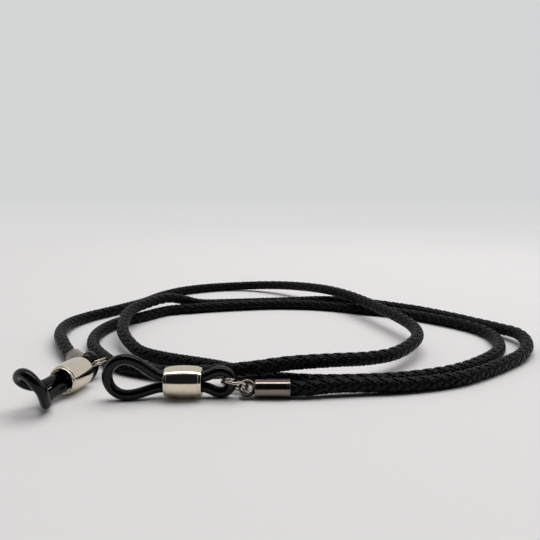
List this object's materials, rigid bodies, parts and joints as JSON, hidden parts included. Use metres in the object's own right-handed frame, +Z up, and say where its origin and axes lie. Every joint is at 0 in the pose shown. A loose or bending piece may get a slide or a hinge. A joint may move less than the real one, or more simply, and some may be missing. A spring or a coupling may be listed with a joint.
{
  "type": "eyewear retainer cord",
  "caption": "Braided cord that hangs glasses from the neck, with a crimped cap, ring, rubber loop and sliding bead at each end.",
  "frame": {"origin": "on the surface that the cord lies on, under the middle of the box of the fittings", "axes": "+X to the right as the picture shows it, +Y away from its camera, +Z up"},
  "size_m": [0.121, 0.1183, 0.0092],
  "materials": {
    "braid": "matte braided synthetic yarn",
    "rubber": "smooth semi-gloss",
    "gunmetal": "black nickel plate, polished",
    "nickel": "pale warm nickel plate, polished",
    "glue": "clear amber adhesive"
  },
  "bodies": {
    "cord_and_caps": {"cord": "braid", "right_end_cap": "gunmetal", "right_cord_end": "braid", "right_glue_plug": "glue", "left_end_cap": "gunmetal", "left_cord_end": "braid", "left_glue_plug": "glue"},
    "right_ring": {"right_split_ring": "gunmetal"},
    "right_loop": {"right_rubber_loop": "rubber"},
    "right_bead": {"right_slider_bead": "nickel"},
    "left_ring": {"left_split_ring": "gunmetal"},
    "left_loop": {"left_rubber_loop": "rubber"},
    "left_bead": {"left_slider_bead": "nickel"}
  },
  "joints": [
    {"name": "right_ring_swing", "type": "hinge", "parent": "cord_and_caps", "child": "right_ring", "pos_m": [0.01676, -0.00508, 0.00187], "axis": [0.1077, -0.9205, 0.3756], "range_deg": [-40, 70]},
    {"name": "right_loop_swing", "type": "hinge", "parent": "right_ring", "child": "right_loop", "pos_m": [0.01196, -0.00508, 0.00325], "axis": [0.1077, -0.9205, 0.3756], "range_deg": [-45, 45]},
    {"name": "right_bead_slide", "type": "slide", "parent": "right_loop", "child": "right_bead", "axis": [-1, 0, 0], "range_m": [-0.001, 0.008], "deforming": ["right_rubber_loop"]},
    {"name": "left_ring_swing", "type": "hinge", "parent": "cord_and_caps", "child": "left_ring", "pos_m": [-0.01829, 0.00816, 0.00187], "axis": [0.5446, 0.8387, 0], "range_deg": [-60, 60]},
    {"name": "left_loop_swing", "type": "hinge", "parent": "left_ring", "child": "left_loop", "pos_m": [-0.01665, 0.00447, 0.00331], "axis": [0.9373, -0.0489, 0.345], "range_deg": [-45, 10]},
    {"name": "left_bead_slide", "type": "slide", "parent": "left_loop", "child": "left_bead", "axis": [-0.2706, -0.9627, 0], "range_m": [-0.001, 0.008], "deforming": ["left_rubber_loop"]}
  ]
}
